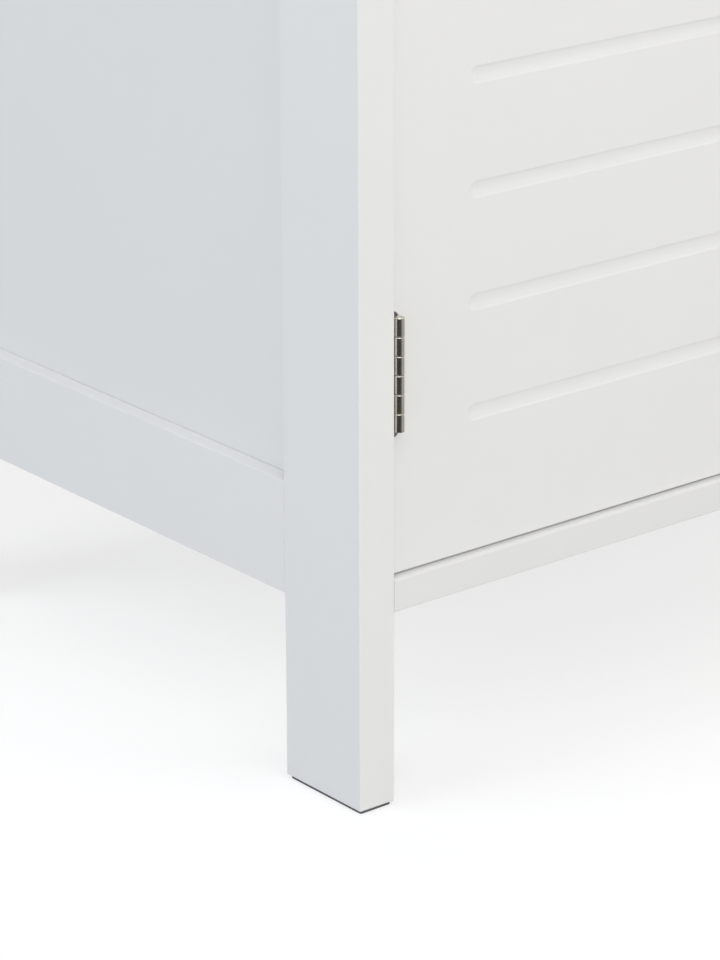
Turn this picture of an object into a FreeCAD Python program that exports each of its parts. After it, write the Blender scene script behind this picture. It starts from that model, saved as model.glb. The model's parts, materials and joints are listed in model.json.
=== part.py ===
# Two-door floor cabinet with routed louvre-look doors, as an assembly of separate pieces.
# Frame-and-panel sides stand on long legs, and a bottom panel, two stretchers and a top tie them together.
# The inset doors hang on small butt hinges, and magnetic catches hold them shut.
# Millimetres, +Z up, front towards -Y, origin on the floor at the centre of the overall box.
import FreeCAD
import Part
import math
import os

# Overall carcass
CARCASS_WIDTH = 580.0
CARCASS_DEPTH = 355.0
CABINET_HEIGHT = 791.5

# Legs, rails and side panels
LEG_THICKNESS = 18.8
LEG_WIDTH = 50.0
RAIL_HEIGHT = 50.8
RAIL_FLOOR_GAP = 86.0
RAIL_PROUD = 0.3
EDGE_RADIUS = 0.7
JOINT_EDGE_RADIUS = 0.3
RAIL_EDGE_RADIUS = 0.35
SIDE_PANEL_THICKNESS = 6.0
SIDE_PANEL_RECESS = 7.5
SIDE_GROOVE_DEPTH = 6.0

# Boards between the sides
BOARD_THICKNESS = 15.0
BOTTOM_PANEL_RISE = 1.9
BOTTOM_NOSE_RADIUS = 1.5
STRETCHER_DEPTH = 80.0
TOP_THICKNESS = 18.0
TOP_SIDE_OVERHANG = 10.0
TOP_FRONT_OVERHANG = 10.0
TOP_EDGE_RADIUS = 2.0
BACK_PANEL_THICKNESS = 3.0
BACK_PANEL_INSET = 12.0
BACK_GROOVE_DEPTH = 5.0

# Foot pads
PAD_THICKNESS = 1.5
PAD_INSET = 1.2
PAD_CORNER_RADIUS = 1.0

# Doors and their routed grooves
DOOR_THICKNESS = 15.0
DOOR_SETBACK = 3.5
DOOR_EDGE_RADIUS = 1.1
DOOR_SIDE_GAP = 1.5
DOOR_CENTRE_GAP = 3.0
DOOR_END_GAP = 0.5
GROOVE_WIDTH = 7.2
GROOVE_FLOOR_WIDTH = 5.8
GROOVE_WALL_DEPTH = 0.44
GROOVE_DEPTH = 0.84
GROOVE_PITCH = 48.22
GROOVE_END_MARGIN = 55.0
GROOVE_STILE = 41.1
GROOVE_LIP_RADIUS = 1.5

# Butt hinges
HINGE_LENGTH = 49.6
HINGE_FROM_DOOR_END = 88.85
HINGE_AXIS_PROUD = 3.27
KNUCKLE_DIAMETER = 4.6
KNUCKLE_COUNT = 6
KNUCKLE_GAP = 0.2
KNUCKLE_CHAMFER = 0.25
KNUCKLE_CLEARANCE = 0.3
LEAF_THICKNESS = 1.0
LEAF_WIDTH = 14.0
LEAF_CORNER_RADIUS = 2.0
LEAF_END_INSET = 1.8
NOTCH_ABOVE = 1.5
NOTCH_BELOW = 3.5
NOTCH_CORNER_RADIUS = 3.2
HINGE_SCREW_INSET = 11.0
HINGE_SCREW_FROM_AXIS = 8.4

# Knobs
KNOB_DIAMETER = 28.0
KNOB_PROJECTION = 25.5
KNOB_BASE_DIAMETER = 15.0
KNOB_BASE_HEIGHT = 2.5
KNOB_NECK_DIAMETER = 9.0
KNOB_RIM_HEIGHT = 5.0
KNOB_CROWN = 4.0
KNOB_BELOW_DOOR_TOP = 260.0
KNOB_FROM_DOOR_EDGE = 20.0

# Magnetic catches and their strike plates
CATCH_FROM_CENTRE = 45.0
CATCH_LENGTH = 46.0
CATCH_BODY_LENGTH = 26.0
CATCH_DEPTH = 15.0
CATCH_HEIGHT = 15.0
CATCH_FLANGE = 3.0
CATCH_HOLE_SPACING = 36.0
CATCH_GAP = 0.3
MAGNET_LENGTH = 20.0
MAGNET_DEPTH = 9.0
MAGNET_THICKNESS = 5.0
POLE_THICKNESS = 1.2
POLE_PROUD = 0.8
STRIKE_LENGTH = 38.0
STRIKE_HEIGHT = 9.0
STRIKE_THICKNESS = 1.0
STRIKE_HOLE_SPACING = 26.0

# Shelf, its pins and their rows of holes
SHELF_TOP = 440.0
SHELF_SIDE_GAP = 1.0
SHELF_BACK_GAP = 1.0
SHELF_SETBACK = 30.0
PIN_DIAMETER = 5.0
PIN_DEPTH = 8.0
PIN_REACH = 8.0
PIN_COLLAR_DIAMETER = 8.0
PIN_COLLAR = 1.0
PIN_HOLE_PITCH = 32.0
PIN_HOLE_ROWS = 5
PIN_FROM_LEG_EDGE = 13.0

# Dowels and cam fasteners
DOWEL_DIAMETER = 8.0
DOWEL_LENGTH = 30.0
DOWEL_CHAMFER = 0.8
DOWEL_END_GAP = 0.5
DOWEL_FROM_RAIL_EDGE = 12.0
DOWEL_SPACING = 22.0
PANEL_DOWEL_IN_RAIL = 10.0
PANEL_DOWEL_SPACING = 120.0
CAM_DIAMETER = 15.0
CAM_HEIGHT = 12.0
CAM_BACKSET = 24.0
CAM_SLOT_DEPTH = 2.0
CAM_SLOT_WIDTH = 1.6
CAM_BOLT_THREAD_DIAMETER = 6.0
CAM_BOLT_THREAD = 11.0
CAM_BOLT_DIAMETER = 5.0
CAM_BOLT_HEAD_DIAMETER = 6.6
CAM_BOLT_HEAD = 2.6
CAM_BOLT_NECK_DIAMETER = 3.6
CAM_BOLT_NECK = 5.0
CAM_DOWEL_WALL = 2.0

# Screws
SMALL_SCREW_HEAD_DIAMETER = 5.0
SMALL_SCREW_DIAMETER = 2.8
SMALL_SCREW_LENGTH = 13.0
PAN_HEAD = 1.6
TOP_SCREW_HEAD_DIAMETER = 8.0
TOP_SCREW_DIAMETER = 4.0
TOP_SCREW_BITE = 12.0
TOP_SCREW_FROM_CENTRE = 150.0
BACK_SCREW_COUNT = 5
BACK_SCREW_END_MARGIN = 40.0
KNOB_SCREW_DIAMETER = 4.0
KNOB_SCREW_HEAD_DIAMETER = 8.0
KNOB_SCREW_BITE = 9.0
SCREW_TIP = 3.0
DRIVE_SLOT_WIDTH = 0.7
DRIVE_SLOT_DEPTH = 0.6

# Clearances, and the overrun of every cut
FIT_PLAY = 0.05
SLOT_PLAY = 0.25
SEAT_PLAY = 0.2
OVERRUN = 5.0

# Driver slot as a share of a head's width, and the share of a direction that an edge along it has
DRIVE_SLOT_SHARE = 0.62
ALONG_SHARE = 0.9

V = FreeCAD.Vector
ORIGIN = V(0, 0, 0)
RIGHT = V(1, 0, 0)
LEFT = V(-1, 0, 0)
BACKWARD = V(0, 1, 0)
FORWARD = V(0, -1, 0)
UP = V(0, 0, 1)
DOWN = V(0, 0, -1)

# Planes worked out from the sizes above, for the left half
FRONT = (max(KNOB_PROJECTION - DOOR_SETBACK, TOP_FRONT_OVERHANG) - CARCASS_DEPTH) / 2
BACK = FRONT + CARCASS_DEPTH
SIDE_OUTER = -CARCASS_WIDTH / 2
SIDE_INNER = SIDE_OUTER + LEG_THICKNESS
LEG_TOP = CABINET_HEIGHT - TOP_THICKNESS
FRONT_LEG_INNER_EDGE = FRONT + LEG_WIDTH
BACK_LEG_INNER_EDGE = BACK - LEG_WIDTH
LOWER_RAIL_TOP = RAIL_FLOOR_GAP + RAIL_HEIGHT
UPPER_RAIL_BOTTOM = LEG_TOP - RAIL_HEIGHT
SIDE_PANEL_OUTER = SIDE_OUTER + SIDE_PANEL_RECESS
BACK_PANEL_FRONT = BACK - BACK_PANEL_INSET - BACK_PANEL_THICKNESS
BOTTOM_UNDERSIDE = RAIL_FLOOR_GAP + BOTTOM_PANEL_RISE
BOTTOM_TOP = BOTTOM_UNDERSIDE + BOARD_THICKNESS
STRETCHER_UNDERSIDE = LEG_TOP - BOARD_THICKNESS
REAR_STRETCHER_FRONT = BACK_PANEL_FRONT - STRETCHER_DEPTH
DOOR_FRONT = FRONT + DOOR_SETBACK
DOOR_BACK = DOOR_FRONT + DOOR_THICKNESS
DOOR_HINGE_EDGE = SIDE_INNER + DOOR_SIDE_GAP
DOOR_FREE_EDGE = -DOOR_CENTRE_GAP / 2
DOOR_BOTTOM = BOTTOM_TOP + DOOR_END_GAP
DOOR_TOP = STRETCHER_UNDERSIDE - DOOR_END_GAP
KNUCKLE_RADIUS = KNUCKLE_DIAMETER / 2
HINGE_X = SIDE_INNER + KNUCKLE_CLEARANCE + KNUCKLE_RADIUS
HINGE_Y = DOOR_FRONT - HINGE_AXIS_PROUD
HINGE_CENTRES = (DOOR_BOTTOM + HINGE_FROM_DOOR_END, DOOR_TOP - HINGE_FROM_DOOR_END)
DOOR_LEAF_OUTER = HINGE_X + KNUCKLE_RADIUS
CATCH_FRONT = DOOR_BACK + STRIKE_THICKNESS + CATCH_GAP + POLE_PROUD
MAGNET_Z = STRETCHER_UNDERSIDE - CATCH_FLANGE - (CATCH_HEIGHT - CATCH_FLANGE) / 2
CAM_FROM_LEG_EDGE = DOWEL_LENGTH / 2 + DOWEL_END_GAP + CAM_BOLT_THREAD_DIAMETER / 2 + CAM_DOWEL_WALL
FRONT_CAM_Y = FRONT_LEG_INNER_EDGE - CAM_FROM_LEG_EDGE
BACK_CAM_Y = BACK_LEG_INNER_EDGE + CAM_FROM_LEG_EDGE
BOTTOM_MIDDLE = BOTTOM_UNDERSIDE + BOARD_THICKNESS / 2
STRETCHER_MIDDLE = STRETCHER_UNDERSIDE + BOARD_THICKNESS / 2
PIN_YS = (FRONT_LEG_INNER_EDGE - PIN_FROM_LEG_EDGE, BACK_LEG_INNER_EDGE + PIN_FROM_LEG_EDGE)
PIN_Z = SHELF_TOP - BOARD_THICKNESS - SEAT_PLAY - PIN_DIAMETER / 2


def block(low, high):
    """A plain box between two corners."""
    size = high - low
    return Part.makeBox(size.x, size.y, size.z, low)


def eased_block(low, high, radius):
    """A board with every edge rounded."""
    board = block(low, high)
    return board.makeFillet(radius, board.Edges)


def edges_along(shape, direction):
    """A shape's straight edges that run along a direction."""
    return [edge for edge in shape.Edges
            if not edge.Closed and abs(edge.tangentAt(edge.FirstParameter).dot(direction)) > ALONG_SHARE]


def edges_at(shape, points):
    """A shape's edges whose middles lie at the given points."""
    return [edge for edge in shape.Edges
            if any((edge.CenterOfMass - point).Length < FIT_PLAY for point in points)]


def edges_at_depth(shape, y):
    """The edges that lie wholly in the plane at depth y."""
    def lies_there(edge):
        return all(abs(vertex.Point.y - y) < FIT_PLAY for vertex in edge.Vertexes)

    return [edge for edge in shape.Edges if lies_there(edge)]


def with_eased_ends(board, direction, low, high):
    """A board that meets other boards at both ends along a direction, with the rims of its ends eased."""
    ends = (low.dot(direction), high.dot(direction))
    rims = [edge for edge in board.Edges for end in ends
            if all(abs(vertex.Point.dot(direction) - end) < FIT_PLAY for vertex in edge.Vertexes)]
    return board.makeFillet(JOINT_EDGE_RADIUS, rims)


def rod(start, direction, diameter, length):
    return Part.makeCylinder(diameter / 2, length, start, direction)


def placed(shape, point, direction):
    """A shape made along +Z at the origin, moved to a point and turned along a direction."""
    shape.Placement = FreeCAD.Placement(point, FreeCAD.Rotation(UP, direction))
    return shape


def mirrored(shape):
    """The right-hand copy of a left-hand piece."""
    return shape.mirror(ORIGIN, RIGHT)


def both_sides(shapes):
    return shapes + [mirrored(shape) for shape in shapes]


def solid_of(shape):
    """The single solid of a boolean's result."""
    solids = shape.Solids
    if len(solids) != 1:
        raise ValueError(f"expected one solid, found {len(solids)}")
    return solids[0]


def cut(shape, tools):
    return solid_of(shape.cut(Part.makeCompound(tools)))


def joined(shapes):
    return solid_of(shapes[0].multiFuse(shapes[1:]).removeSplitter())


def drive_slots(diameter, face):
    """Two crossed slots in a screw head's face, which lies at height face."""
    length = diameter * DRIVE_SLOT_SHARE
    low = V(-length / 2, -DRIVE_SLOT_WIDTH / 2, face - OVERRUN)
    high = V(length / 2, DRIVE_SLOT_WIDTH / 2, face + DRIVE_SLOT_DEPTH)
    slot = block(low, high)
    crossed = slot.copy()
    crossed.rotate(ORIGIN, UP, 90)
    return [slot, crossed]


def shank(diameter, length, play):
    """A plain screw shank with a pointed tip, from the head's seat down."""
    radius = diameter / 2 + play
    body = Part.makeCylinder(radius, length - SCREW_TIP)
    tip = Part.makeCone(radius, radius / 2, SCREW_TIP + play, V(0, 0, length - SCREW_TIP))
    return body.fuse(tip)


def countersunk_screw(head_diameter, diameter, length):
    sink = (head_diameter - diameter) / 2
    head = Part.makeCone(head_diameter / 2, diameter / 2, sink)
    return cut(joined([head, shank(diameter, length, 0)]), drive_slots(head_diameter, 0))


def countersunk_bore(head_diameter, diameter, length):
    """The hole that a countersunk screw sits in, with its play."""
    sink = (head_diameter - diameter) / 2
    head = Part.makeCone(head_diameter / 2 + FIT_PLAY, diameter / 2 + FIT_PLAY, sink)
    mouth = Part.makeCylinder(head_diameter / 2 + FIT_PLAY, OVERRUN, V(0, 0, -OVERRUN))
    return joined([mouth, head, shank(diameter, length, FIT_PLAY)])


def pan_screw(head_diameter, diameter, length):
    head = Part.makeCylinder(head_diameter / 2, PAN_HEAD, V(0, 0, -PAN_HEAD))
    rim = [edge for edge in head.Edges if edge.Length > PAN_HEAD and edge.CenterOfMass.z < -PAN_HEAD / 2]
    head = head.makeFillet(PAN_HEAD / 2, rim)
    return cut(joined([head, shank(diameter, length, 0)]), drive_slots(head_diameter, -PAN_HEAD))


def small_countersunk():
    return countersunk_screw(SMALL_SCREW_HEAD_DIAMETER, SMALL_SCREW_DIAMETER, SMALL_SCREW_LENGTH)


def small_countersunk_bore():
    return countersunk_bore(SMALL_SCREW_HEAD_DIAMETER, SMALL_SCREW_DIAMETER, SMALL_SCREW_LENGTH)


def small_pan():
    return pan_screw(SMALL_SCREW_HEAD_DIAMETER, SMALL_SCREW_DIAMETER, SMALL_SCREW_LENGTH)


def small_pan_bore():
    return shank(SMALL_SCREW_DIAMETER, SMALL_SCREW_LENGTH, FIT_PLAY)


def dowel(start, direction):
    body = rod(start, direction, DOWEL_DIAMETER, DOWEL_LENGTH)
    rims = [edge for edge in body.Edges if edge.Closed]
    return body.makeChamfer(DOWEL_CHAMFER, rims)


def dowel_bore(start, direction):
    """The drilled hole on both sides of a dowelled joint."""
    reach = direction * DOWEL_END_GAP
    length = DOWEL_LENGTH + DOWEL_END_GAP * 2
    return rod(start - reach, direction, DOWEL_DIAMETER + FIT_PLAY * 2, length)


def rail_dowel_starts(edge_y, direction):
    """Where the dowels of the two left rail ends at one leg begin, half their length inside the rail."""
    offsets = (DOWEL_FROM_RAIL_EDGE, DOWEL_FROM_RAIL_EDGE + DOWEL_SPACING)
    heights = [RAIL_FLOOR_GAP + offset for offset in offsets] + [LEG_TOP - offset for offset in offsets]
    middle = SIDE_OUTER + LEG_THICKNESS / 2
    return [V(middle, edge_y, z) - direction * (DOWEL_LENGTH / 2) for z in heights]


def frame_dowel_places():
    front = [(start, FORWARD) for start in rail_dowel_starts(FRONT_LEG_INNER_EDGE, FORWARD)]
    back = [(start, BACKWARD) for start in rail_dowel_starts(BACK_LEG_INNER_EDGE, BACKWARD)]
    return front + back


def panel_dowel_places():
    """Dowels from the lower left rail into the bottom panel's end."""
    middle = (FRONT_LEG_INNER_EDGE + BACK_LEG_INNER_EDGE) / 2
    start = SIDE_INNER - PANEL_DOWEL_IN_RAIL
    ys = (middle - PANEL_DOWEL_SPACING / 2, middle + PANEL_DOWEL_SPACING / 2)
    return [(V(start, y, BOTTOM_MIDDLE), RIGHT) for y in ys]


def cam_places():
    """Each left-hand cam joint: a point on the leg's inner face, and the way its cam faces."""
    bottom = [(V(SIDE_INNER, y, BOTTOM_MIDDLE), DOWN) for y in (FRONT_CAM_Y, BACK_CAM_Y)]
    stretchers = [(V(SIDE_INNER, y, STRETCHER_MIDDLE), UP) for y in (FRONT_CAM_Y, BACK_CAM_Y)]
    return bottom + stretchers


def cam_bolt(point):
    """Threaded into the leg, with a shank, a thin neck and a head that the cam draws in."""
    neck_start = CAM_BACKSET - CAM_BOLT_NECK
    pieces = [
        rod(point, LEFT, CAM_BOLT_THREAD_DIAMETER, CAM_BOLT_THREAD),
        rod(point, RIGHT, CAM_BOLT_DIAMETER, neck_start),
        rod(point + RIGHT * neck_start, RIGHT, CAM_BOLT_NECK_DIAMETER, CAM_BOLT_NECK),
        rod(point + RIGHT * CAM_BACKSET, RIGHT, CAM_BOLT_HEAD_DIAMETER, CAM_BOLT_HEAD),
    ]
    return joined(pieces)


def cam_bolt_bores(point):
    """The blind hole in the leg, and the board's end hole that reaches to the cam."""
    thread = rod(point + RIGHT * OVERRUN, LEFT, CAM_BOLT_THREAD_DIAMETER + FIT_PLAY * 2,
                 CAM_BOLT_THREAD + OVERRUN + SEAT_PLAY)
    end_hole = rod(point + LEFT * OVERRUN, RIGHT, CAM_BOLT_HEAD_DIAMETER + SLOT_PLAY * 2,
                   CAM_BACKSET + OVERRUN)
    return thread, end_hole


def cam_axis_start(point, facing):
    """Where a cam's open face lies, on the board's face."""
    return point + RIGHT * CAM_BACKSET + facing * (BOARD_THICKNESS / 2)


def cam_bore(point, facing):
    start = cam_axis_start(point, facing)
    diameter = CAM_DIAMETER + FIT_PLAY * 2
    return rod(start + facing * OVERRUN, facing * -1, diameter, CAM_HEIGHT + FIT_PLAY + OVERRUN)


def cam_lock(point, facing):
    """A cam with a hollow for the bolt's head, a mouth towards the leg and a driver slot."""
    start = cam_axis_start(point, facing)
    body = rod(start, facing * -1, CAM_DIAMETER, CAM_HEIGHT)
    mouth_height = CAM_BOLT_HEAD_DIAMETER + SLOT_PLAY * 2
    hollow_radius = math.hypot(CAM_BOLT_HEAD_DIAMETER / 2, CAM_BOLT_HEAD) + SLOT_PLAY
    middle = point + RIGHT * CAM_BACKSET
    hollow = rod(middle - UP * (mouth_height / 2), UP, hollow_radius * 2, mouth_height)
    mouth = block(middle - V(CAM_DIAMETER, mouth_height / 2, mouth_height / 2),
                  middle + V(0, mouth_height / 2, mouth_height / 2))
    half_slot = V(CAM_SLOT_WIDTH / 2, CAM_DIAMETER * DRIVE_SLOT_SHARE / 2, CAM_SLOT_DEPTH)
    slot = block(start - half_slot, start + half_slot)
    return cut(body, [hollow, mouth, slot])


def side_panel_slot(low_y, high_y, low_z, high_z):
    """The groove that holds a side panel's edge."""
    low = V(SIDE_PANEL_OUTER - SLOT_PLAY, low_y, low_z)
    high = V(SIDE_PANEL_OUTER + SIDE_PANEL_THICKNESS + SLOT_PLAY, high_y, high_z)
    return block(low, high)


def pin_holes(y):
    """A column of shelf-pin holes in a left leg's inner face."""
    middle_row = (PIN_HOLE_ROWS - 1) / 2
    heights = [PIN_Z + (row - middle_row) * PIN_HOLE_PITCH for row in range(PIN_HOLE_ROWS)]
    depth = PIN_DEPTH + SEAT_PLAY + OVERRUN
    diameter = PIN_DIAMETER + FIT_PLAY * 2
    return [rod(V(SIDE_INNER + OVERRUN, y, z), LEFT, diameter, depth) for z in heights]


def hinge_screw_heights(centre):
    reach = HINGE_LENGTH / 2 - HINGE_SCREW_INSET
    return (centre - reach, centre + reach)


def frame_hinge_screw_places():
    """Left-hand screws through the frame leaves, at each leaf's outer face."""
    x = SIDE_INNER + LEAF_THICKNESS
    y = HINGE_Y + HINGE_SCREW_FROM_AXIS
    return [V(x, y, z) for centre in HINGE_CENTRES for z in hinge_screw_heights(centre)]


def door_hinge_screw_places():
    x = DOOR_LEAF_OUTER - LEAF_THICKNESS
    y = HINGE_Y + HINGE_SCREW_FROM_AXIS
    return [V(x, y, z) for centre in HINGE_CENTRES for z in hinge_screw_heights(centre)]


def leg(front_y, inner_edge_y, inwards, pin_y, cam_y):
    """A left leg with the groove, dowel, cam and shelf-pin holes that both legs have."""
    board = block(V(SIDE_OUTER, front_y, PAD_THICKNESS), V(SIDE_INNER, front_y + LEG_WIDTH, LEG_TOP))
    upright = edges_along(board, UP)
    beside_rail = [edge for edge in upright if abs(edge.CenterOfMass.y - inner_edge_y) < FIT_PLAY]
    exposed = [edge for edge in board.Edges if not any(edge.isSame(joint) for joint in beside_rail)]
    board = board.makeFillet(EDGE_RADIUS, exposed)
    deep_y = inner_edge_y - inwards.y * SIDE_GROOVE_DEPTH
    open_y = inner_edge_y + inwards.y * OVERRUN
    slot = side_panel_slot(min(deep_y, open_y), max(deep_y, open_y),
                           LOWER_RAIL_TOP - SIDE_GROOVE_DEPTH, UPPER_RAIL_BOTTOM + SIDE_GROOVE_DEPTH)
    towards_leg = inwards * -1
    dowels = [dowel_bore(start, towards_leg) for start in rail_dowel_starts(inner_edge_y, towards_leg)]
    cams = [cam_bolt_bores(V(SIDE_INNER, cam_y, z))[0] for z in (BOTTOM_MIDDLE, STRETCHER_MIDDLE)]
    return cut(board, [slot] + dowels + cams + pin_holes(pin_y))


def front_leg():
    board = leg(FRONT, FRONT_LEG_INNER_EDGE, BACKWARD, PIN_YS[0], FRONT_CAM_Y)
    bores = [placed(small_countersunk_bore(), point, LEFT) for point in frame_hinge_screw_places()]
    return cut(board, bores)


def back_leg():
    """The rear leg also has the groove that the back panel slides down."""
    board = leg(BACK - LEG_WIDTH, BACK_LEG_INNER_EDGE, FORWARD, PIN_YS[1], BACK_CAM_Y)
    low = V(SIDE_INNER - BACK_GROOVE_DEPTH, BACK_PANEL_FRONT - SLOT_PLAY, BOTTOM_UNDERSIDE - SLOT_PLAY)
    high = V(SIDE_INNER + OVERRUN, BACK_PANEL_FRONT + BACK_PANEL_THICKNESS + SLOT_PLAY, LEG_TOP + OVERRUN)
    return cut(board, [block(low, high)])


def rail(low_z, groove_low, groove_high):
    """A left rail between the legs, grooved for the side panel and drilled for its end dowels."""
    low = V(SIDE_OUTER - RAIL_PROUD, FRONT_LEG_INNER_EDGE, low_z)
    high = V(SIDE_INNER, BACK_LEG_INNER_EDGE, low_z + RAIL_HEIGHT)
    board = block(low, high)
    board = board.makeFillet(RAIL_EDGE_RADIUS, edges_along(board, BACKWARD))
    board = with_eased_ends(board, BACKWARD, low, high)
    slot = side_panel_slot(FRONT_LEG_INNER_EDGE - OVERRUN, BACK_LEG_INNER_EDGE + OVERRUN,
                           groove_low, groove_high)
    dowels = [dowel_bore(start, direction) for start, direction in frame_dowel_places()]
    return cut(board, [slot] + dowels)


def lower_rail():
    board = rail(RAIL_FLOOR_GAP, LOWER_RAIL_TOP - SIDE_GROOVE_DEPTH, LOWER_RAIL_TOP + OVERRUN)
    return cut(board, [dowel_bore(start, direction) for start, direction in panel_dowel_places()])


def upper_rail():
    return rail(UPPER_RAIL_BOTTOM, UPPER_RAIL_BOTTOM - OVERRUN, UPPER_RAIL_BOTTOM + SIDE_GROOVE_DEPTH)


def side_panel():
    reach = SIDE_GROOVE_DEPTH - SEAT_PLAY
    low = V(SIDE_PANEL_OUTER, FRONT_LEG_INNER_EDGE - reach, LOWER_RAIL_TOP - reach)
    high = V(SIDE_PANEL_OUTER + SIDE_PANEL_THICKNESS, BACK_LEG_INNER_EDGE + reach, UPPER_RAIL_BOTTOM + reach)
    return block(low, high)


def cam_board(low_y, high_y, low_z, nose_radius, places, edge_screws):
    """A board between the sides: its upper front edge is a rounded nose, cam joints hold both ends,
    and screws go into its rear edge."""
    low = V(SIDE_INNER, low_y, low_z)
    high = V(-SIDE_INNER, high_y, low_z + BOARD_THICKNESS)
    board = block(low, high)
    board = board.makeFillet(nose_radius, edges_at(board, [V(0, low_y, high.z)]))
    corners = [V(0, low_y, low_z), V(0, high_y, low_z), V(0, high_y, high.z)]
    board = board.makeFillet(EDGE_RADIUS, edges_at(board, corners))
    board = with_eased_ends(board, RIGHT, low, high)
    tools = []
    for point, facing in places:
        tools += [cam_bolt_bores(point)[1], cam_bore(point, facing)]
    bores = [placed(small_pan_bore(), point, FORWARD) for point in edge_screws]
    return cut(board, both_sides(tools) + bores)


def back_screw_places(z):
    """A row of screws through the back panel, at its rear face."""
    y = BACK_PANEL_FRONT + BACK_PANEL_THICKNESS
    first = SIDE_INNER + BACK_SCREW_END_MARGIN
    step = -first * 2 / (BACK_SCREW_COUNT - 1)
    return [V(first + step * index, y, z) for index in range(BACK_SCREW_COUNT)]


def bottom_panel():
    board = cam_board(FRONT, BACK_PANEL_FRONT, BOTTOM_UNDERSIDE, BOTTOM_NOSE_RADIUS, cam_places()[:2],
                      back_screw_places(BOTTOM_MIDDLE))
    dowels = [dowel_bore(start, direction) for start, direction in panel_dowel_places()]
    return cut(board, both_sides(dowels))


def top_screw_places():
    """Screws up through the stretchers into the top, at the stretchers' undersides."""
    ys = (FRONT + STRETCHER_DEPTH / 2, REAR_STRETCHER_FRONT + STRETCHER_DEPTH / 2)
    xs = (-TOP_SCREW_FROM_CENTRE, TOP_SCREW_FROM_CENTRE)
    return [V(x, y, STRETCHER_UNDERSIDE) for y in ys for x in xs]


def top_screw_bores():
    length = BOARD_THICKNESS + TOP_SCREW_BITE
    return [placed(countersunk_bore(TOP_SCREW_HEAD_DIAMETER, TOP_SCREW_DIAMETER, length), point, UP)
            for point in top_screw_places()]


def catch_screw_places():
    """Left-hand screws up through the catch's flange, at the flange's underside."""
    y = CATCH_FRONT + CATCH_DEPTH / 2
    z = STRETCHER_UNDERSIDE - CATCH_FLANGE
    reach = CATCH_HOLE_SPACING / 2
    return [V(-CATCH_FROM_CENTRE + side * reach, y, z) for side in (-1, 1)]


def catch_screw_bores():
    return [placed(small_pan_bore(), point, UP) for point in catch_screw_places()]


def front_stretcher():
    board = cam_board(FRONT, FRONT + STRETCHER_DEPTH, STRETCHER_UNDERSIDE, EDGE_RADIUS,
                      cam_places()[2:3], [])
    return cut(board, top_screw_bores() + both_sides(catch_screw_bores()))


def rear_stretcher():
    board = cam_board(REAR_STRETCHER_FRONT, BACK_PANEL_FRONT, STRETCHER_UNDERSIDE, EDGE_RADIUS,
                      cam_places()[3:], back_screw_places(STRETCHER_MIDDLE))
    return cut(board, top_screw_bores())


def top_panel():
    board = eased_block(V(SIDE_OUTER - TOP_SIDE_OVERHANG, FRONT - TOP_FRONT_OVERHANG, LEG_TOP),
                        V(TOP_SIDE_OVERHANG - SIDE_OUTER, BACK, CABINET_HEIGHT), TOP_EDGE_RADIUS)
    return cut(board, top_screw_bores())


def back_panel():
    reach = BACK_GROOVE_DEPTH - SEAT_PLAY
    board = block(V(SIDE_INNER - reach, BACK_PANEL_FRONT, BOTTOM_UNDERSIDE),
                  V(reach - SIDE_INNER, BACK_PANEL_FRONT + BACK_PANEL_THICKNESS, LEG_TOP - SEAT_PLAY))
    points = back_screw_places(BOTTOM_MIDDLE) + back_screw_places(STRETCHER_MIDDLE)
    return cut(board, [placed(small_pan_bore(), point, FORWARD) for point in points])


def back_screws():
    points = back_screw_places(BOTTOM_MIDDLE) + back_screw_places(STRETCHER_MIDDLE)
    return [placed(small_pan(), point, FORWARD) for point in points]


def top_screws():
    length = BOARD_THICKNESS + TOP_SCREW_BITE
    return [placed(countersunk_screw(TOP_SCREW_HEAD_DIAMETER, TOP_SCREW_DIAMETER, length), point, UP)
            for point in top_screw_places()]


def foot_pad(front_y):
    """A thin pad under a left leg, set in from the leg's edges."""
    pad = block(V(SIDE_OUTER + PAD_INSET, front_y + PAD_INSET, 0),
                V(SIDE_INNER - PAD_INSET, front_y + LEG_WIDTH - PAD_INSET, PAD_THICKNESS))
    return pad.makeFillet(PAD_CORNER_RADIUS, edges_along(pad, UP))


def shelf():
    return eased_block(V(SIDE_INNER + SHELF_SIDE_GAP, FRONT + SHELF_SETBACK, SHELF_TOP - BOARD_THICKNESS),
                       V(-SIDE_INNER - SHELF_SIDE_GAP, BACK_PANEL_FRONT - SHELF_BACK_GAP, SHELF_TOP),
                       EDGE_RADIUS)


def shelf_pin(y):
    """A peg in a left leg, with a collar against the leg's face."""
    face = V(SIDE_INNER, y, PIN_Z)
    peg = rod(face + LEFT * PIN_DEPTH, RIGHT, PIN_DIAMETER, PIN_DEPTH + PIN_REACH)
    collar = rod(face, RIGHT, PIN_COLLAR_DIAMETER, PIN_COLLAR)
    above = V(SHELF_SIDE_GAP - SEAT_PLAY, -PIN_COLLAR_DIAMETER, PIN_DIAMETER / 2)
    shelf_end = block(face + above, face + V(OVERRUN + PIN_REACH, PIN_COLLAR_DIAMETER, PIN_COLLAR_DIAMETER))
    return cut(joined([peg, collar]), [shelf_end])


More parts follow.
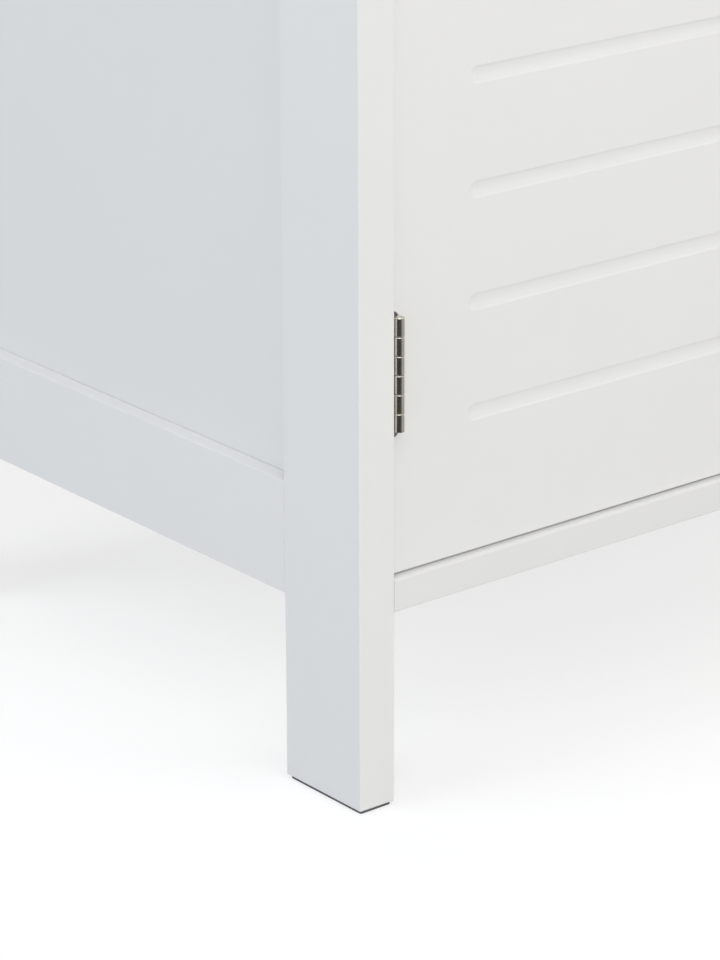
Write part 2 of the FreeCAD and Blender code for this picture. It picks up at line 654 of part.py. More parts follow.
def groove_cutter(z):
    """A dish cutter's sweep: a gently dished floor between short sloping walls, with round ends."""
    floor = GROOVE_FLOOR_WIDTH / 2
    dish = GROOVE_DEPTH - GROOVE_WALL_DEPTH
    radius = (floor ** 2 + dish ** 2) / (dish * 2)
    angle = math.asin(floor / radius) / 2
    reach = GROOVE_WALL_DEPTH + OVERRUN
    mouth = floor + (GROOVE_WIDTH - GROOVE_FLOOR_WIDTH) / 2 * reach / GROOVE_WALL_DEPTH
    lowest = BACKWARD * GROOVE_DEPTH
    half_way = lowest + FORWARD * (radius * (1 - math.cos(angle))) + UP * (radius * math.sin(angle))
    wall_foot = BACKWARD * GROOVE_WALL_DEPTH + UP * floor
    middle = FORWARD * OVERRUN
    rim = middle + UP * mouth

    def half_section(point):
        outline = [Part.Arc(point + lowest, point + half_way, point + wall_foot).toShape(),
                   Part.makeLine(point + wall_foot, point + rim),
                   Part.makeLine(point + rim, point + middle),
                   Part.makeLine(point + middle, point + lowest)]
        return Part.Face(Part.Wire(outline))

    start = V(DOOR_HINGE_EDGE + GROOVE_STILE + GROOVE_WIDTH / 2, DOOR_FRONT, z)
    end = V(DOOR_FREE_EDGE - GROOVE_STILE - GROOVE_WIDTH / 2, DOOR_FRONT, z)
    upper = half_section(start).extrude(end - start)
    lower = upper.mirror(start, UP)
    ends = [half_section(point).revolve(point, FORWARD, 360) for point in (start, end)]
    return joined([upper, lower] + ends)


def groove_heights():
    """As many grooves as fit between the end margins, centred on the door."""
    height = DOOR_TOP - DOOR_BOTTOM
    count = math.floor((height - GROOVE_END_MARGIN * 2) / GROOVE_PITCH) + 1
    first = DOOR_BOTTOM + (height - (count - 1) * GROOVE_PITCH) / 2
    return [first + index * GROOVE_PITCH for index in range(count)]


def groove_lips(board):
    """The edges where the grooves meet the door's front face, clear of the door's own edges."""
    def inside(edge):
        middle = edge.CenterOfMass
        return (DOOR_HINGE_EDGE + GROOVE_STILE / 2 < middle.x < DOOR_FREE_EDGE - GROOVE_STILE / 2
                and DOOR_BOTTOM + GROOVE_WIDTH < middle.z < DOOR_TOP - GROOVE_WIDTH)

    return [edge for edge in edges_at_depth(board, DOOR_FRONT) if inside(edge)]


def hinge_notch(centre):
    """The notch for a hinge leaf, cut through the door's edge by a round cutter."""
    half = HINGE_LENGTH / 2
    notch = block(V(DOOR_HINGE_EDGE - OVERRUN, DOOR_FRONT - OVERRUN, centre - half - NOTCH_BELOW),
                  V(DOOR_LEAF_OUTER + FIT_PLAY, DOOR_BACK + OVERRUN, centre + half + NOTCH_ABOVE))
    inner = [edge for edge in edges_along(notch, BACKWARD) if edge.CenterOfMass.x > DOOR_HINGE_EDGE]
    return notch.makeFillet(min(NOTCH_CORNER_RADIUS, DOOR_LEAF_OUTER - DOOR_HINGE_EDGE), inner)


def knob_point():
    """Where a left knob's axis meets the door's front."""
    return V(DOOR_FREE_EDGE - KNOB_FROM_DOOR_EDGE, DOOR_FRONT, DOOR_TOP - KNOB_BELOW_DOOR_TOP)


def strike_screw_places():
    """Left-hand screws in the strike plate, at its rear face."""
    y = DOOR_BACK + STRIKE_THICKNESS
    reach = STRIKE_HOLE_SPACING / 2
    return [V(-CATCH_FROM_CENTRE + side * reach, y, MAGNET_Z) for side in (-1, 1)]


def strike_bores():
    return [placed(small_countersunk_bore(), point, FORWARD) for point in strike_screw_places()]


def door():
    """A left door: one board with routed grooves, hinge notches and screw holes."""
    board = eased_block(V(DOOR_HINGE_EDGE, DOOR_FRONT, DOOR_BOTTOM),
                        V(DOOR_FREE_EDGE, DOOR_BACK, DOOR_TOP), DOOR_EDGE_RADIUS)
    board = cut(board, [groove_cutter(z) for z in groove_heights()])
    board = board.makeFillet(GROOVE_LIP_RADIUS, groove_lips(board))
    notches = [hinge_notch(centre) for centre in HINGE_CENTRES]
    hinge_bores = [placed(small_countersunk_bore(), point, RIGHT) for point in door_hinge_screw_places()]
    knob_hole = rod(knob_point() - BACKWARD * OVERRUN, BACKWARD, KNOB_SCREW_DIAMETER + FIT_PLAY * 2,
                    DOOR_THICKNESS + OVERRUN * 2)
    return cut(board, notches + hinge_bores + strike_bores() + [knob_hole])


def knuckle_spans(centre, first):
    """The heights of every other knuckle of a hinge, counted from the bottom."""
    pitch = HINGE_LENGTH / KNUCKLE_COUNT
    bottom = centre - HINGE_LENGTH / 2
    return [(bottom + pitch * index + KNUCKLE_GAP / 2, bottom + pitch * (index + 1) - KNUCKLE_GAP / 2)
            for index in range(first, KNUCKLE_COUNT, 2)]


def hinge_leaf(centre, first, inner_x, outer_x, screws):
    """A leaf rolled round the pin at its own knuckles and cut back at the other leaf's."""
    root = HINGE_Y + KNUCKLE_RADIUS + SEAT_PLAY
    half = HINGE_LENGTH / 2 - LEAF_END_INSET
    plate = block(V(inner_x, root, centre - half), V(outer_x, HINGE_Y + LEAF_WIDTH, centre + half))
    corners = [edge for edge in edges_along(plate, RIGHT) if edge.CenterOfMass.y > root + LEAF_CORNER_RADIUS]
    pieces = [plate.makeFillet(LEAF_CORNER_RADIUS, corners)]
    bore_diameter = KNUCKLE_DIAMETER - LEAF_THICKNESS * 2
    bores = []
    for low, high in knuckle_spans(centre, first):
        foot = V(HINGE_X, HINGE_Y, low)
        knuckle = rod(foot, UP, KNUCKLE_DIAMETER, high - low)
        rims = [edge for edge in knuckle.Edges if edge.Closed]
        pieces.append(knuckle.makeChamfer(KNUCKLE_CHAMFER, rims))
        pieces.append(block(V(inner_x, HINGE_Y, low), V(outer_x, root, high)))
        bores.append(rod(foot - UP * OVERRUN, UP, bore_diameter, high - low + OVERRUN * 2))
    return cut(joined(pieces), bores + screws)


def frame_leaf(centre):
    bores = [placed(small_countersunk_bore(), point, LEFT) for point in frame_hinge_screw_places()]
    return hinge_leaf(centre, 1, SIDE_INNER, SIDE_INNER + LEAF_THICKNESS, bores)


def door_leaf(centre):
    bores = [placed(small_countersunk_bore(), point, RIGHT) for point in door_hinge_screw_places()]
    return hinge_leaf(centre, 0, DOOR_LEAF_OUTER - LEAF_THICKNESS, DOOR_LEAF_OUTER, bores)


def hinge_pin(centre):
    """A pin with eased ends, flush with the ends of the knuckles."""
    length = HINGE_LENGTH - KNUCKLE_GAP
    diameter = KNUCKLE_DIAMETER - LEAF_THICKNESS * 2 - FIT_PLAY * 2
    pin = rod(V(HINGE_X, HINGE_Y, centre - length / 2), UP, diameter, length)
    return pin.makeChamfer(KNUCKLE_CHAMFER, [edge for edge in pin.Edges if edge.Closed])


def knob():
    """A turned knob: a base, a waisted neck and a rimmed head with a low crown."""
    tip = KNOB_PROJECTION - KNOB_CROWN
    rim = tip - KNOB_RIM_HEIGHT
    base = KNOB_BASE_DIAMETER / 2
    neck = KNOB_NECK_DIAMETER / 2
    head = KNOB_DIAMETER / 2
    waist = KNOB_BASE_HEIGHT + (rim - KNOB_BASE_HEIGHT) / 2
    cove = Part.Arc(V(base, 0, KNOB_BASE_HEIGHT), V(neck, 0, waist), V(head, 0, rim))
    crown_radius = (head ** 2 + KNOB_CROWN ** 2) / (2 * KNOB_CROWN)
    half_angle = math.asin(head / crown_radius) / 2
    crown_centre = V(0, 0, KNOB_PROJECTION - crown_radius)
    crown_middle = crown_centre + V(math.sin(half_angle), 0, math.cos(half_angle)) * crown_radius
    crown = Part.Arc(V(head, 0, tip), crown_middle, V(0, 0, KNOB_PROJECTION))
    edges = [
        Part.LineSegment(ORIGIN, V(base, 0, 0)).toShape(),
        Part.LineSegment(V(base, 0, 0), V(base, 0, KNOB_BASE_HEIGHT)).toShape(),
        cove.toShape(),
        Part.LineSegment(V(head, 0, rim), V(head, 0, tip)).toShape(),
        crown.toShape(),
        Part.LineSegment(V(0, 0, KNOB_PROJECTION), ORIGIN).toShape(),
    ]
    turned = Part.Face(Part.Wire(edges)).revolve(ORIGIN, UP, 360)
    tapped = rod(DOWN * OVERRUN, UP, KNOB_SCREW_DIAMETER + FIT_PLAY * 2,
                 KNOB_SCREW_BITE + SEAT_PLAY + OVERRUN)
    return placed(cut(turned, [tapped]), knob_point(), FORWARD)


def knob_screw():
    head = rod(ORIGIN - UP * PAN_HEAD, UP, KNOB_SCREW_HEAD_DIAMETER, PAN_HEAD)
    body = rod(ORIGIN, UP, KNOB_SCREW_DIAMETER, DOOR_THICKNESS + KNOB_SCREW_BITE)
    screw = cut(joined([head, body]), drive_slots(KNOB_SCREW_HEAD_DIAMETER, -PAN_HEAD))
    return placed(screw, knob_point() + BACKWARD * DOOR_THICKNESS, FORWARD)


def magnet_pocket_low():
    """The lower front left corner of a left catch's pocket, and the pocket's size."""
    height = MAGNET_THICKNESS + POLE_THICKNESS * 2
    return V(-CATCH_FROM_CENTRE - MAGNET_LENGTH / 2, CATCH_FRONT, MAGNET_Z - height / 2), height


def catch_housing():
    """A flanged plastic body under the front stretcher, open at the front for the magnet."""
    low_y = CATCH_FRONT
    high_y = CATCH_FRONT + CATCH_DEPTH
    flange = block(V(-CATCH_FROM_CENTRE - CATCH_LENGTH / 2, low_y, STRETCHER_UNDERSIDE - CATCH_FLANGE),
                   V(-CATCH_FROM_CENTRE + CATCH_LENGTH / 2, high_y, STRETCHER_UNDERSIDE))
    body = block(V(-CATCH_FROM_CENTRE - CATCH_BODY_LENGTH / 2, low_y, STRETCHER_UNDERSIDE - CATCH_HEIGHT),
                 V(-CATCH_FROM_CENTRE + CATCH_BODY_LENGTH / 2, high_y, STRETCHER_UNDERSIDE))
    low, height = magnet_pocket_low()
    play = V(FIT_PLAY, 0, FIT_PLAY)
    pocket = block(low - play - BACKWARD * OVERRUN,
                   low + play + V(MAGNET_LENGTH, MAGNET_DEPTH + FIT_PLAY, height))
    return cut(joined([flange, body]), [pocket] + catch_screw_bores())


def catch_magnet():
    low = magnet_pocket_low()[0] + UP * POLE_THICKNESS
    return block(low, low + V(MAGNET_LENGTH, MAGNET_DEPTH, MAGNET_THICKNESS))


def catch_poles():
    """Two steel plates, above and below the magnet, that stand proud of it."""
    low = magnet_pocket_low()[0] + FORWARD * POLE_PROUD
    size = V(MAGNET_LENGTH, MAGNET_DEPTH + POLE_PROUD, POLE_THICKNESS)
    upper = low + UP * (POLE_THICKNESS + MAGNET_THICKNESS)
    return [block(corner, corner + size) for corner in (low, upper)]


def catch_screws():
    return [placed(small_pan(), point, UP) for point in catch_screw_places()]


def strike_plate():
    half = V(STRIKE_LENGTH / 2, 0, STRIKE_HEIGHT / 2)
    middle = V(-CATCH_FROM_CENTRE, DOOR_BACK, MAGNET_Z)
    plate = block(middle - half, middle + half + BACKWARD * STRIKE_THICKNESS)
    return cut(plate, strike_bores())


def save(name, shapes):
    Part.makeCompound(shapes).exportStep(os.path.join("parts", name + ".step"))
    print(f"{name}: {len(shapes)} solids, {sum(shape.Volume for shape in shapes) / 1000:.2f} cm3")


def save_pair(name, shape):
    """A left-hand piece and its mirrored twin, each in its own node."""
    save(name + "_left", [shape])
    save(name + "_right", [mirrored(shape)])


def save_pair_group(name, shapes):
    save(name + "_left", shapes)
    save(name + "_right", [mirrored(shape) for shape in shapes])


def build_carcass():
    save_pair("leg_front", front_leg())
    save_pair("leg_back", back_leg())
    save_pair("side_rail_lower", lower_rail())
    save_pair("side_rail_upper", upper_rail())
    save_pair("side_panel", side_panel())
    save_pair("foot_pad_front", foot_pad(FRONT))
    save_pair("foot_pad_back", foot_pad(BACK - LEG_WIDTH))
    save("bottom_panel", [bottom_panel()])
    save("front_stretcher", [front_stretcher()])
    save("rear_stretcher", [rear_stretcher()])
    save("top_panel", [top_panel()])
    save("back_panel", [back_panel()])
    save("shelf", [shelf()])
    save("shelf_pins", both_sides([shelf_pin(y) for y in PIN_YS]))


def build_fasteners():
    save("frame_dowels", both_sides([dowel(start, direction) for start, direction in frame_dowel_places()]))
    save("panel_dowels", both_sides([dowel(start, direction) for start, direction in panel_dowel_places()]))
    save("cam_bolts", both_sides([cam_bolt(point) for point, facing in cam_places()]))
    save("cam_locks", both_sides([cam_lock(point, facing) for point, facing in cam_places()]))
    save("top_screws", top_screws())
    save("back_panel_screws", back_screws())
    save("catch_screws", both_sides(catch_screws()))
    frame_screws = [placed(small_countersunk(), point, LEFT) for point in frame_hinge_screw_places()]
    save_pair_group("hinge_frame_screws", frame_screws)


def build_hinges():
    for level, centre in zip(("lower", "upper"), HINGE_CENTRES):
        save_pair(f"hinge_frame_leaf_{level}", frame_leaf(centre))
        save_pair(f"hinge_door_leaf_{level}", door_leaf(centre))
        save_pair(f"hinge_pin_{level}", hinge_pin(centre))


def build_doors():
    save_pair("door", door())
    save_pair("knob", knob())
    save_pair("knob_screw", knob_screw())
    save_pair("strike_plate", strike_plate())
    strike_screws = [placed(small_countersunk(), point, FORWARD) for point in strike_screw_places()]
    save_pair_group("strike_screws", strike_screws)
    hinge_screws = [placed(small_countersunk(), point, RIGHT) for point in door_hinge_screw_places()]
    save_pair_group("hinge_door_screws", hinge_screws)


def build_catches():
    save_pair("catch_housing", catch_housing())
    save("catch_magnets", both_sides([catch_magnet()]))
    save("catch_poles", both_sides(catch_poles()))


os.makedirs("parts", exist_ok=True)
build_carcass()
build_fasteners()
build_hinges()
build_doors()
build_catches()
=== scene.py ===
"""Looks of the louvre-look floor cabinet: camera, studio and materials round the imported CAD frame."""
import json
import math
from collections import namedtuple

import bpy
from mathutils import Matrix, Vector


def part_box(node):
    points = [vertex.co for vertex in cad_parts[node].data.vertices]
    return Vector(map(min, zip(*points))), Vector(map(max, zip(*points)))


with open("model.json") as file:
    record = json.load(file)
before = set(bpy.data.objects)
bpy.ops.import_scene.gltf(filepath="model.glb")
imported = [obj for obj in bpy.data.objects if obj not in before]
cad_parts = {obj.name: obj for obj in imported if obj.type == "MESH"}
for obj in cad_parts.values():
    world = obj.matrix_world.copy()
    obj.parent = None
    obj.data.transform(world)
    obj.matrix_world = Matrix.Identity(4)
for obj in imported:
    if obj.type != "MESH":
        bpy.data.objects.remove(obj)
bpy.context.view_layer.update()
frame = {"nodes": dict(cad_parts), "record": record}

# Camera: eye from the front left leg's lowest outer corner, view angles in degrees, image in pixels
EYE_FROM_LEG_CORNER = Vector((-0.90107, -1.11115, 0.68064))
VIEW_TURN = 39.052
VIEW_PITCH = 20.352
VIEW_ROLL = -0.168
FOCAL_PIXELS = 3734.3
IMAGE_HEIGHT_PIXELS = 960
SENSOR_WIDTH = 36.0
CLIP_START = 0.01

# Studio: sizes and distances in metres, powers in watts
FLOOR_HALF_WIDTH = 6.0
FLOOR_COLOUR = (0.66, 0.66, 0.66, 1.0)
SEEN_FLOOR_COLOUR = (0.37, 0.37, 0.37, 1.0)
SEEN_FLOOR_GLOW = 0.665
FADE_START = 1.3
FADE_END = 3.2
SURROUND_COLOUR = (1.0, 1.0, 1.0, 1.0)
SURROUND_LIGHT = 0.09
AIM = Vector((0.0, 0.0, 0.40))
WHITE_LIGHT = (1.0, 1.0, 1.0)
WARM_LIGHT = (1.0, 0.982, 0.946)
COOL_LIGHT = (0.876, 0.929, 1.0)
# Spread is in degrees. A lamp that isn't mirrored leaves no glare on the paint.
Softbox = namedtuple("Softbox", "name place size watts colour spread mirrored", defaults=(180.0, True))
SOFTBOXES = (
    Softbox("top_softbox", (0.0, 0.0, 3.0), (2.6, 2.6), 22.0, WHITE_LIGHT),
    Softbox("key_softbox", (-1.3, -1.95, 2.7), (2.0, 2.0), 31.0, WHITE_LIGHT),
    Softbox("front_softbox", (0.8, -3.4, 1.2), (2.6, 2.0), 65.5, WARM_LIGHT, mirrored=False),
    Softbox("left_softbox", (-3.2, -0.7, 0.45), (2.6, 0.8), 18.2, COOL_LIGHT),
    Softbox("left_top_softbox", (-2.8, 0.8, 2.2), (2.2, 2.0), 41.8, COOL_LIGHT, mirrored=False),
    Softbox("back_softbox", (0.4, 3.0, 0.75), (2.0, 1.2), 6.5, WHITE_LIGHT, spread=90.0),
    Softbox("right_softbox", (3.2, 0.7, 0.75), (2.0, 1.2), 5.5, WHITE_LIGHT, spread=90.0),
)
# Cards lie on the floor round the lower left hinge. Start and end are angles in degrees,
# from straight ahead of the hinge towards the left.
Card = namedtuple("Card", "name start end colour")
CARDS = (
    Card("studio_card_black", 8.0, 96.0, (0.012, 0.011, 0.009, 1.0)),
    Card("studio_card_dark", -16.0, 8.0, (0.15, 0.15, 0.15, 1.0)),
    Card("studio_card_grey", -80.0, -16.0, (0.50, 0.50, 0.49, 1.0)),
)
CARD_INNER_RADIUS = 0.26
CARD_OUTER_RADIUS = 1.30
CARD_HEIGHT = 0.001
CARD_STEPS = 24

# Sprayed white paint: grain sizes and bump depths in metres, gloss as the lowest and highest roughness
PAINT_DARK = (0.800, 0.801, 0.797)
PAINT_LIGHT = (0.822, 0.822, 0.816)
PAINT_GLOSS = (0.36, 0.46)
PAINT_CLOUD_SIZE = 0.09
PAINT_PEEL_SIZE = 0.0016
PAINT_PEEL_DEPTH = 0.000006
PAINT_WAVE_SIZE = 0.02
PAINT_WAVE_DEPTH = 0.00003
# Boards whose paint is drawn a little darker than the paint of the frame and the doors
BOARDS = (
    "side_panel_left", "side_panel_right", "bottom_panel", "shelf", "front_stretcher", "rear_stretcher",
)
FRAME_SHADE = 1.0
BOARD_SHADE = 0.972

# Hardboard of the back panel
HARDBOARD_PAINT = (0.79, 0.79, 0.775, 1.0)
HARDBOARD_DARK = (0.30, 0.20, 0.12, 1.0)
HARDBOARD_LIGHT = (0.43, 0.31, 0.20, 1.0)
HARDBOARD_STAIN = (0.36, 0.26, 0.17, 1.0)
HARDBOARD_STAIN_SHARE = 0.35
HARDBOARD_STAIN_SIZE = 0.05
HARDBOARD_FIBRE_SIZE = 0.0022
HARDBOARD_FIBRE_STRETCH = (1.0, 1.0, 0.35)
HARDBOARD_FIBRE_DEPTH = 0.00005
HARDBOARD_GLOSS = (0.45, 0.7)
# A face belongs to the raw side when its normal points backwards by more than this
RAW_SIDE_NORMAL = 0.5

# Finishes whose colour, gloss and bump all follow one grain, by the record's material slot.
# Stretch scales the grain's coordinates: a small number draws the grain out along that axis.
Finish = namedtuple("Finish", "name dark light gloss grain depth detail harshness stretch metallic",
                    defaults=(4.0, 0.5, None, 0.0))
ALONG_DOWEL = (1.0, 0.12, 1.0)
METAL = {"harshness": 0.6, "stretch": (1.0, 1.0, 0.08), "metallic": 1.0}
FINISHES = {
    "dowel_wood": Finish("dowel_beech", (0.52, 0.35, 0.20, 1.0), (0.72, 0.54, 0.36, 1.0), (0.5, 0.7),
                         grain=0.0016, depth=0.00004, stretch=ALONG_DOWEL),
    "nickel": Finish("nickel_bright", (0.60, 0.57, 0.50, 1.0), (0.72, 0.69, 0.62, 1.0), (0.08, 0.18),
                     grain=0.0009, depth=0.000004, **METAL),
    "zinc_steel": Finish("zinc_plate", (0.56, 0.57, 0.60, 1.0), (0.70, 0.71, 0.73, 1.0), (0.22, 0.36),
                         grain=0.0008, depth=0.000006, **METAL),
    "cam_zinc": Finish("zinc_die_cast", (0.42, 0.43, 0.45, 1.0), (0.58, 0.58, 0.60, 1.0), (0.34, 0.52),
                       grain=0.0012, depth=0.00002, **METAL),
    "plain_steel": Finish("bright_steel", (0.54, 0.54, 0.55, 1.0), (0.66, 0.66, 0.67, 1.0), (0.2, 0.34),
                          grain=0.001, depth=0.000006, **METAL),
    "catch_plastic": Finish("catch_plastic_moulded", (0.80, 0.80, 0.78, 1.0), (0.84, 0.84, 0.82, 1.0),
                            (0.42, 0.55), grain=0.0006, depth=0.00002, detail=2.0),
    "magnet_ferrite": Finish("magnet_ferrite_sintered", (0.035, 0.035, 0.036, 1.0),
                             (0.08, 0.08, 0.082, 1.0), (0.55, 0.75), grain=0.0008, depth=0.00003),
    "pad_rubber": Finish("pad_rubber_matt", (0.07, 0.07, 0.072, 1.0), (0.17, 0.17, 0.172, 1.0), (0.8, 0.95),
                         grain=0.0012, depth=0.00012, detail=5.0, harshness=0.7),
}


class Tree:
    """Small helper that adds nodes to a material or a world and links them."""

    def __init__(self, owner):
        self.owner = owner
        owner.use_nodes = True
        self.nodes = owner.node_tree.nodes
        self.links = owner.node_tree.links

    def feed(self, socket, value):
        """Links a socket to another one, or sets its plain value."""
        if isinstance(value, bpy.types.NodeSocket):
            self.links.new(value, socket)
        else:
            socket.default_value = value

    def feed_all(self, node, inputs):
        """Feeds inputs by name, with underscores for the spaces in a socket's name."""
        for key, value in inputs.items():
            self.feed(node.inputs[key.replace("_", " ")], value)

    def add(self, kind, settings=None, **inputs):
        node = self.nodes.new("ShaderNode" + kind)
        for key, value in (settings or {}).items():
            setattr(node, key, value)
        self.feed_all(node, inputs)
        return node

    def surface(self, **inputs):
        self.feed_all(self.nodes["Principled BSDF"], inputs)

    def math(self, operation, first, second):
        node = self.add("Math", {"operation": operation})
        self.feed(node.inputs[0], first)
        self.feed(node.inputs[1], second)
        return node.outputs["Value"]

    def two_shaders(self, kind, first, second, **inputs):
        """An Add or Mix Shader, whose shaders are its last two inputs."""
        node = self.add(kind, **inputs)
        self.links.new(first.outputs[0], node.inputs[-2])
        self.links.new(second.outputs[0], node.inputs[-1])
        return node

    def seen(self):
        """1 for what is seen straight, in a mirror or through glass, and 0 for light that bounces."""
        path = self.add("LightPath").outputs
        mirrored = self.math("MAXIMUM", path["Is Glossy Ray"], path["Is Transmission Ray"])
        return self.math("MAXIMUM", path["Is Camera Ray"], mirrored)

    def place(self, stretch=None):
        """Object coordinates, which are metres in the cabinet's own frame, scaled where stretch is given."""
        place = self.add("TexCoord").outputs["Object"]
        if stretch is None:
            return place
        return self.add("Mapping", Vector=place, Scale=stretch).outputs["Vector"]

    def noise(self, vector, size, detail=3.0, harshness=0.5):
        """Noise whose features are about size metres across, from 0 to 1."""
        node = self.add("TexNoise", Vector=vector, Scale=1.0 / size, Detail=detail, Roughness=harshness)
        return node.outputs["Fac"]

    def ramp(self, value, low, high, start=0.0, end=1.0):
        """Low to high, as a value goes from start to end."""
        node = self.add("MapRange", Value=value, From_Min=start, From_Max=end, To_Min=low, To_Max=high)
        return node.outputs["Result"]

    def mix(self, factor, first, second):
        node = self.add("Mix", {"data_type": "RGBA"}, Factor=factor)
        for socket, value in zip([s for s in node.inputs if s.type == "RGBA"], (first, second)):
            self.feed(socket, value)
        return [s for s in node.outputs if s.type == "RGBA"][0]

    def bump(self, height, depth, under=None):
        """A bump whose height from 0 to 1 stands for depth metres, on top of the one under it."""
        node = self.add("Bump", Height=height, Distance=depth, Strength=1.0)
        if under is not None:
            self.links.new(under, node.inputs["Normal"])
        return node.outputs["Normal"]


def material_tree(name):
    return Tree(bpy.data.materials.new(name))


def white_paint(name, shade):
    """Sprayed satin lacquer: a nearly even white, times a shade, with a fine orange peel."""
    tree = material_tree(name)
    place = tree.place()
    cloud = tree.noise(place, PAINT_CLOUD_SIZE, detail=2.0)
    peel = tree.noise(place, PAINT_PEEL_SIZE, detail=2.0)
    wave = tree.noise(place, PAINT_WAVE_SIZE, detail=1.0)
    dark, light = ([part * shade for part in paint] + [1.0] for paint in (PAINT_DARK, PAINT_LIGHT))
    normal = tree.bump(peel, PAINT_PEEL_DEPTH, under=tree.bump(wave, PAINT_WAVE_DEPTH))
    tree.surface(Base_Color=tree.mix(cloud, dark, light), Roughness=tree.ramp(peel, *PAINT_GLOSS),
                 Normal=normal)
    return tree.owner


def back_board():
    """Hardboard: lacquered white towards the inside, raw brown fibre behind."""
    tree = material_tree("back_board_hardboard")
    stretched = tree.place(HARDBOARD_FIBRE_STRETCH)
    fibre = tree.noise(stretched, HARDBOARD_FIBRE_SIZE, detail=5.0, harshness=0.65)
    stain = tree.ramp(tree.noise(tree.place(), HARDBOARD_STAIN_SIZE), 0.0, HARDBOARD_STAIN_SHARE)
    brown = tree.mix(stain, tree.mix(fibre, HARDBOARD_DARK, HARDBOARD_LIGHT), HARDBOARD_STAIN)
    normal = tree.add("SeparateXYZ", Vector=tree.add("TexCoord").outputs["Normal"])
    raw_side = tree.math("GREATER_THAN", normal.outputs["Y"], RAW_SIDE_NORMAL)
    tree.surface(Base_Color=tree.mix(raw_side, HARDBOARD_PAINT, brown),
                 Roughness=tree.ramp(fibre, *HARDBOARD_GLOSS),
                 Normal=tree.bump(fibre, HARDBOARD_FIBRE_DEPTH))
    return tree.owner


def grained(finish):
    """Wood, plastic, rubber, ferrite or plated metal whose look follows one fine grain."""
    tree = material_tree(finish.name)
    grain = tree.noise(tree.place(finish.stretch), finish.grain, finish.detail, finish.harshness)
    tree.surface(Base_Color=tree.mix(grain, finish.dark, finish.light), Metallic=finish.metallic,
                 Roughness=tree.ramp(grain, *finish.gloss), Normal=tree.bump(grain, finish.depth))
    return tree.owner


def paint_nodes():
    """Gives every CAD node the procedural material of its slot."""
    materials = {slot: grained(finish) for slot, finish in FINISHES.items()}
    materials["white_paint"] = white_paint("white_paint_frame", FRAME_SHADE)
    materials["back_board"] = back_board()
    board_paint = white_paint("white_paint_board", BOARD_SHADE)
    for row in frame["record"]["subparts"]:
        node = frame["nodes"][row["node"]]
        for slot in node.material_slots:
            slot.material = board_paint if row["node"] in BOARDS else materials[row["material_slot"]]


def flat_sheet(name, points, material):
    """A flat piece of the studio from its outline."""
    mesh = bpy.data.meshes.new(name)
    mesh.from_pydata(points, [], [tuple(range(len(points)))])
    mesh.materials.append(material)
    obj = bpy.data.objects.new(name, mesh)
    bpy.context.scene.collection.objects.link(obj)
    return obj


def floor_material():
    """Plain pale paint for bounced light, and a lifted white with a soft shadow where it is seen,
    which fades to the white of the surround away from the cabinet."""
    tree = material_tree("studio_floor_paint")
    bounced = tree.add("BsdfDiffuse", Color=FLOOR_COLOUR)
    shaded = tree.add("BsdfDiffuse", Color=SEEN_FLOOR_COLOUR)
    distance = tree.add("VectorMath", {"operation": "LENGTH"}, Vector=tree.place()).outputs["Value"]
    strength = tree.ramp(distance, SEEN_FLOOR_GLOW, 1.0, FADE_START, FADE_END)
    glow = tree.add("Emission", Color=SURROUND_COLOUR, Strength=strength)
    lifted = tree.two_shaders("AddShader", shaded, glow)
    floor_shader = tree.two_shaders("MixShader", bounced, lifted, Fac=tree.seen())
    tree.links.new(floor_shader.outputs["Shader"], tree.nodes["Material Output"].inputs["Surface"])
    tree.nodes.remove(tree.nodes["Principled BSDF"])
    return tree.owner


def add_floor():
    half = FLOOR_HALF_WIDTH
    corners = [(-half, -half, 0.0), (half, -half, 0.0), (half, half, 0.0), (-half, half, 0.0)]
    flat_sheet("studio_floor", corners, floor_material())


def add_card(card):
    """A dull card on the floor, out of the picture, that the metal mirrors as a dark or grey band."""
    tree = material_tree(card.name)
    tree.surface(Base_Color=card.colour, Roughness=1.0)
    low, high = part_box("hinge_pin_lower_left")
    middle = (Vector(low) + Vector(high)) / 2
    turn = (card.end - card.start) / CARD_STEPS
    angles = [math.radians(card.start + turn * step) for step in range(CARD_STEPS + 1)]

    def edge(radius):
        return [(middle.x - math.sin(angle) * radius, middle.y - math.cos(angle) * radius, CARD_HEIGHT)
                for angle in angles]

    obj = flat_sheet(card.name, edge(CARD_INNER_RADIUS) + edge(CARD_OUTER_RADIUS)[::-1], tree.owner)
    obj.visible_camera = False
    obj.visible_diffuse = False
    obj.visible_shadow = False


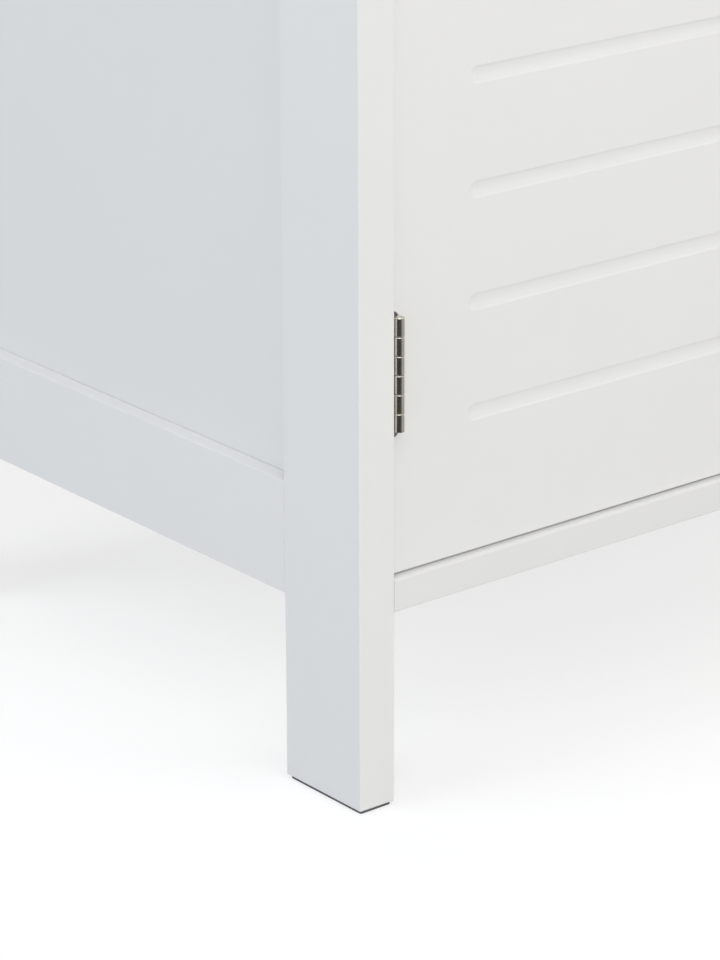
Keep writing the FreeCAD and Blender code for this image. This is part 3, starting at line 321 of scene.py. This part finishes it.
def add_softbox(box):
    """A rectangular area lamp that faces the cabinet's middle."""
    lamp = bpy.data.lights.new(box.name, "AREA")
    lamp.shape = "RECTANGLE"
    lamp.size, lamp.size_y = box.size
    lamp.energy = box.watts
    lamp.color = box.colour
    lamp.spread = math.radians(box.spread)
    obj = bpy.data.objects.new(box.name, lamp)
    obj.location = box.place
    obj.rotation_euler = (AIM - Vector(box.place)).to_track_quat("-Z", "Y").to_euler()
    obj.visible_glossy = box.mirrored
    bpy.context.scene.collection.objects.link(obj)


def studio_world():
    """A white surround where it is seen, which gives the object only a little light."""
    tree = Tree(bpy.data.worlds.new("studio_world"))
    light = tree.nodes["Background"]
    tree.feed_all(light, {"Color": SURROUND_COLOUR, "Strength": SURROUND_LIGHT})
    white = tree.add("Background", Color=SURROUND_COLOUR, Strength=1.0)
    surround = tree.two_shaders("MixShader", light, white, Fac=tree.seen())
    tree.links.new(surround.outputs["Shader"], tree.nodes["World Output"].inputs["Surface"])
    return tree.owner


def add_studio():
    add_floor()
    for card in CARDS:
        add_card(card)
    bpy.context.scene.world = studio_world()
    for box in SOFTBOXES:
        add_softbox(box)


def add_camera():
    """The photograph's view, from the leg's corner and three angles."""
    turn, pitch, roll = (math.radians(angle) for angle in (VIEW_TURN, VIEW_PITCH, VIEW_ROLL))
    forward = Vector((math.sin(turn) * math.cos(pitch), math.cos(turn) * math.cos(pitch), -math.sin(pitch)))
    right = Vector((math.cos(turn), -math.sin(turn), 0.0))
    up = right.cross(forward)
    tilted_right = right * math.cos(roll) + up * math.sin(roll)
    tilted_up = up * math.cos(roll) - right * math.sin(roll)
    data = bpy.data.cameras.new("photo_camera")
    data.sensor_width = SENSOR_WIDTH
    # The sensor's width spans the image's longer side, which is its height
    data.lens = FOCAL_PIXELS * SENSOR_WIDTH / IMAGE_HEIGHT_PIXELS
    data.clip_start = CLIP_START
    obj = bpy.data.objects.new("photo_camera", data)
    rotation = Matrix((tilted_right, tilted_up, -forward)).transposed()
    eye = Vector(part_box("leg_front_left")[0]) + EYE_FROM_LEG_CORNER
    obj.matrix_world = Matrix.Translation(eye) @ rotation.to_4x4()
    bpy.context.scene.collection.objects.link(obj)
    bpy.context.scene.camera = obj


bpy.context.scene.view_settings.view_transform = "Standard"
paint_nodes()
add_studio()
add_camera()
